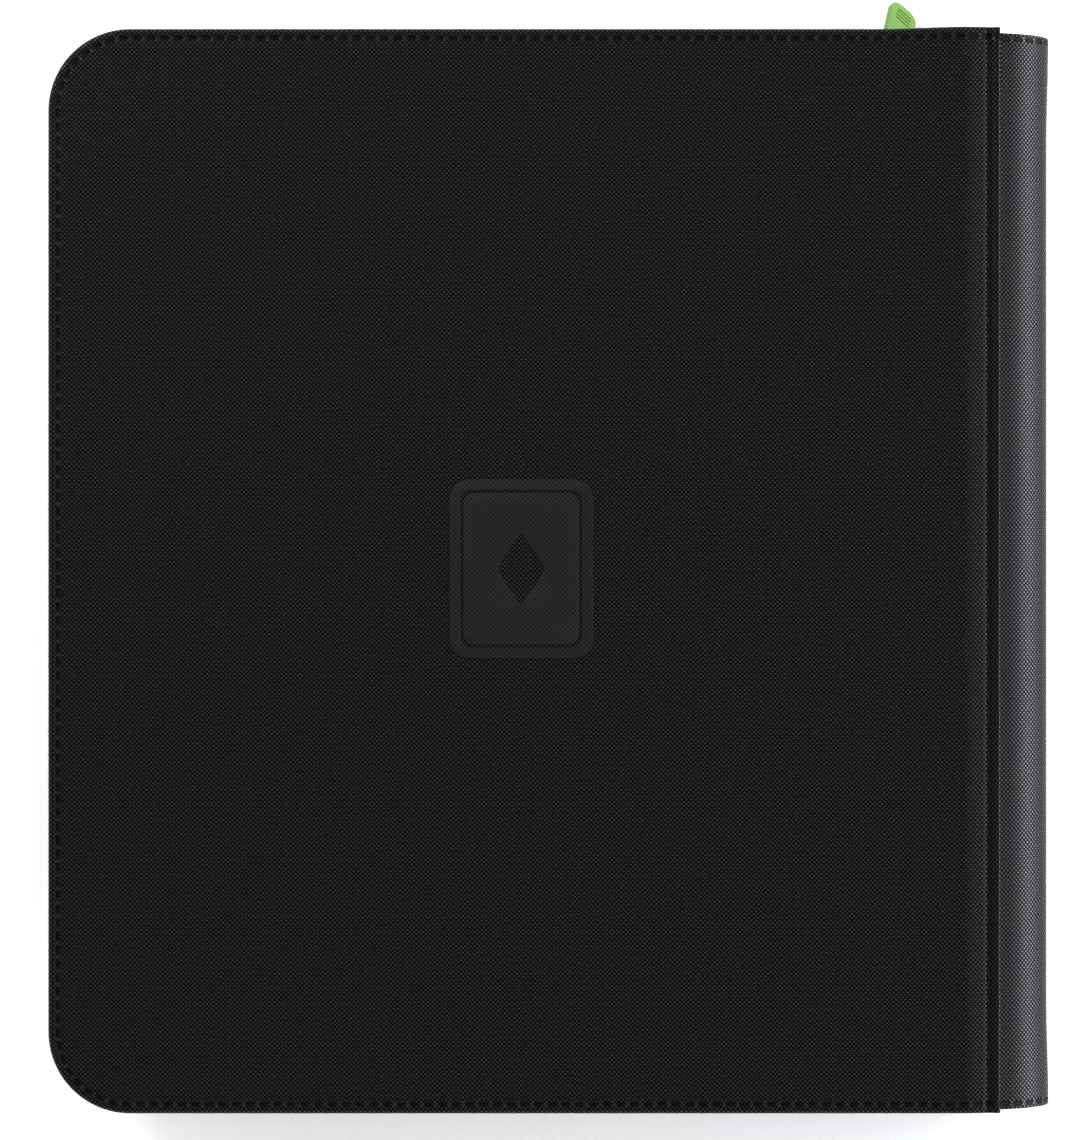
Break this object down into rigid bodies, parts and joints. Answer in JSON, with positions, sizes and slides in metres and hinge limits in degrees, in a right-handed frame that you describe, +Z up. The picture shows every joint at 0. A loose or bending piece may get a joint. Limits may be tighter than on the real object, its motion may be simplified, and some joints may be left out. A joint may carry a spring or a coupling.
{
  "type": "trading card binder",
  "caption": "Zip-around binder with padded-look black covers, a soft bowed spine, side-loading card pages and a rubber zip pull.",
  "frame": {"origin": "middle of the face that the closed binder rests on, under the middle of its covers and spine", "axes": "+X across the covers towards the spine, +Y along the spine towards the end where the zip closes, +Z up through the closed binder"},
  "size_m": [0.3266, 0.3652, 0.04],
  "materials": {
    "cover_skin": "fine embossed grain, low sheen",
    "board": "raw grey board",
    "lining": "plain weave",
    "zip_tape": "twill tape",
    "zip_coil": "nylon coil",
    "zip_metal": "black enamel",
    "ring_wire": "plated wire",
    "pull_rubber": "soft matt moulded rubber",
    "binding": "stiff welded strip",
    "leaf_film": "black sheet under clear pockets"
  },
  "bodies": {
    "front_cover": {"front_cover_skin": "cover_skin", "front_cover_board": "board", "front_cover_lining": "lining", "front_zip_tape": "zip_tape", "front_zip_coil": "zip_coil", "front_zip_stops": "zip_metal"},
    "spine": {"spine_skin": "cover_skin", "spine_lining": "lining", "page_binding_strip": "binding", "page_roots": "leaf_film"},
    "back_cover": {"back_cover_skin": "cover_skin", "back_cover_board": "board", "back_cover_lining": "lining", "back_zip_tape": "zip_tape", "back_zip_coil": "zip_coil", "back_zip_stops": "zip_metal"},
    "slider": {"zip_slider": "zip_metal", "slider_bail": "zip_metal"},
    "ring": {"pull_ring": "ring_wire"},
    "tab": {"pull_tab": "pull_rubber"},
    "leaf_01": {"page_01": "leaf_film"},
    "leaf_02": {"page_02": "leaf_film"},
    "leaf_03": {"page_03": "leaf_film"},
    "leaf_04": {"page_04": "leaf_film"},
    "leaf_05": {"page_05": "leaf_film"},
    "leaf_06": {"page_06": "leaf_film"},
    "leaf_07": {"page_07": "leaf_film"},
    "leaf_08": {"page_08": "leaf_film"},
    "leaf_09": {"page_09": "leaf_film"},
    "leaf_10": {"page_10": "leaf_film"},
    "leaf_11": {"page_11": "leaf_film"},
    "leaf_12": {"page_12": "leaf_film"},
    "leaf_13": {"page_13": "leaf_film"},
    "leaf_14": {"page_14": "leaf_film"},
    "leaf_15": {"page_15": "leaf_film"},
    "leaf_16": {"page_16": "leaf_film"},
    "leaf_17": {"page_17": "leaf_film"},
    "leaf_18": {"page_18": "leaf_film"},
    "leaf_19": {"page_19": "leaf_film"},
    "leaf_20": {"page_20": "leaf_film"}
  },
  "joints": [
    {"name": "spine_fold", "type": "hinge", "parent": "front_cover", "child": "spine", "pos_m": [0.14585, 0, 0.0029], "axis": [0, 1, 0], "range_deg": [0, 90]},
    {"name": "back_cover_fold", "type": "hinge", "parent": "spine", "child": "back_cover", "pos_m": [0.14585, 0, 0.0371], "axis": [0, 1, 0], "range_deg": [0, 90]},
    {"name": "slider_travel", "type": "slide", "parent": "front_cover", "child": "slider", "axis": [-1, 0, 0], "range_m": [0, 0.24]},
    {"name": "ring_swing", "type": "hinge", "parent": "slider", "child": "ring", "pos_m": [0.1136, 0.1737, 0.02], "axis": [0, 0, 1], "range_deg": [-6, 6]},
    {"name": "tab_lift", "type": "hinge", "parent": "ring", "child": "tab", "pos_m": [0.11413, 0.17554, 0.01795], "axis": [0.7541, -0.5734, -0.3202], "range_deg": [0, 85]},
    {"name": "leaf_01_turn", "type": "hinge", "parent": "spine", "child": "leaf_01", "pos_m": [0.1423, 0, 0.00575], "axis": [0, 1, 0], "range_deg": [-66.6, 0]},
    {"name": "leaf_02_turn", "type": "hinge", "parent": "spine", "child": "leaf_02", "pos_m": [0.1423, 0, 0.00725], "axis": [0, 1, 0], "range_deg": [-59.59, 0]},
    {"name": "leaf_03_turn", "type": "hinge", "parent": "spine", "child": "leaf_03", "pos_m": [0.1423, 0, 0.00875], "axis": [0, 1, 0], "range_deg": [-52.58, 0]},
    {"name": "leaf_04_turn", "type": "hinge", "parent": "spine", "child": "leaf_04", "pos_m": [0.1423, 0, 0.01025], "axis": [0, 1, 0], "range_deg": [-45.57, 0]},
    {"name": "leaf_05_turn", "type": "hinge", "parent": "spine", "child": "leaf_05", "pos_m": [0.1423, 0, 0.01175], "axis": [0, 1, 0], "range_deg": [-38.56, 0]},
    {"name": "leaf_06_turn", "type": "hinge", "parent": "spine", "child": "leaf_06", "pos_m": [0.1423, 0, 0.01325], "axis": [0, 1, 0], "range_deg": [-31.55, 0]},
    {"name": "leaf_07_turn", "type": "hinge", "parent": "spine", "child": "leaf_07", "pos_m": [0.1423, 0, 0.01475], "axis": [0, 1, 0], "range_deg": [-24.54, 0]},
    {"name": "leaf_08_turn", "type": "hinge", "parent": "spine", "child": "leaf_08", "pos_m": [0.1423, 0, 0.01625], "axis": [0, 1, 0], "range_deg": [-17.53, 0]},
    {"name": "leaf_09_turn", "type": "hinge", "parent": "spine", "child": "leaf_09", "pos_m": [0.1423, 0, 0.01775], "axis": [0, 1, 0], "range_deg": [-10.52, 0]},
    {"name": "leaf_10_turn", "type": "hinge", "parent": "spine", "child": "leaf_10", "pos_m": [0.1423, 0, 0.01925], "axis": [0, 1, 0], "range_deg": [-3.51, 0]},
    {"name": "leaf_11_turn", "type": "hinge", "parent": "spine", "child": "leaf_11", "pos_m": [0.1423, 0, 0.02075], "axis": [0, 1, 0], "range_deg": [0, 3.51]},
    {"name": "leaf_12_turn", "type": "hinge", "parent": "spine", "child": "leaf_12", "pos_m": [0.1423, 0, 0.02225], "axis": [0, 1, 0], "range_deg": [0, 10.52]},
    {"name": "leaf_13_turn", "type": "hinge", "parent": "spine", "child": "leaf_13", "pos_m": [0.1423, 0, 0.02375], "axis": [0, 1, 0], "range_deg": [0, 17.53]},
    {"name": "leaf_14_turn", "type": "hinge", "parent": "spine", "child": "leaf_14", "pos_m": [0.1423, 0, 0.02525], "axis": [0, 1, 0], "range_deg": [0, 24.54]},
    {"name": "leaf_15_turn", "type": "hinge", "parent": "spine", "child": "leaf_15", "pos_m": [0.1423, 0, 0.02675], "axis": [0, 1, 0], "range_deg": [0, 31.55]},
    {"name": "leaf_16_turn", "type": "hinge", "parent": "spine", "child": "leaf_16", "pos_m": [0.1423, 0, 0.02825], "axis": [0, 1, 0], "range_deg": [0, 38.56]},
    {"name": "leaf_17_turn", "type": "hinge", "parent": "spine", "child": "leaf_17", "pos_m": [0.1423, 0, 0.02975], "axis": [0, 1, 0], "range_deg": [0, 45.57]},
    {"name": "leaf_18_turn", "type": "hinge", "parent": "spine", "child": "leaf_18", "pos_m": [0.1423, 0, 0.03125], "axis": [0, 1, 0], "range_deg": [0, 52.58]},
    {"name": "leaf_19_turn", "type": "hinge", "parent": "spine", "child": "leaf_19", "pos_m": [0.1423, 0, 0.03275], "axis": [0, 1, 0], "range_deg": [0, 59.59]},
    {"name": "leaf_20_turn", "type": "hinge", "parent": "spine", "child": "leaf_20", "pos_m": [0.1423, 0, 0.03425], "axis": [0, 1, 0], "range_deg": [0, 66.6]}
  ],
  "couplings": [
    {"joint": "back_cover_fold", "follows": "spine_fold", "ratio": 1},
    {"joint": "leaf_01_turn", "follows": "spine_fold", "ratio": -0.74},
    {"joint": "leaf_02_turn", "follows": "spine_fold", "ratio": -0.6621},
    {"joint": "leaf_03_turn", "follows": "spine_fold", "ratio": -0.5842},
    {"joint": "leaf_04_turn", "follows": "spine_fold", "ratio": -0.5063},
    {"joint": "leaf_05_turn", "follows": "spine_fold", "ratio": -0.4284},
    {"joint": "leaf_06_turn", "follows": "spine_fold", "ratio": -0.3505},
    {"joint": "leaf_07_turn", "follows": "spine_fold", "ratio": -0.2726},
    {"joint": "leaf_08_turn", "follows": "spine_fold", "ratio": -0.1947},
    {"joint": "leaf_09_turn", "follows": "spine_fold", "ratio": -0.1168},
    {"joint": "leaf_10_turn", "follows": "spine_fold", "ratio": -0.0389},
    {"joint": "leaf_11_turn", "follows": "spine_fold", "ratio": 0.0389},
    {"joint": "leaf_12_turn", "follows": "spine_fold", "ratio": 0.1168},
    {"joint": "leaf_13_turn", "follows": "spine_fold", "ratio": 0.1947},
    {"joint": "leaf_14_turn", "follows": "spine_fold", "ratio": 0.2726},
    {"joint": "leaf_15_turn", "follows": "spine_fold", "ratio": 0.3505},
    {"joint": "leaf_16_turn", "follows": "spine_fold", "ratio": 0.4284},
    {"joint": "leaf_17_turn", "follows": "spine_fold", "ratio": 0.5063},
    {"joint": "leaf_18_turn", "follows": "spine_fold", "ratio": 0.5842},
    {"joint": "leaf_19_turn", "follows": "spine_fold", "ratio": 0.6621},
    {"joint": "leaf_20_turn", "follows": "spine_fold", "ratio": 0.74}
  ]
}
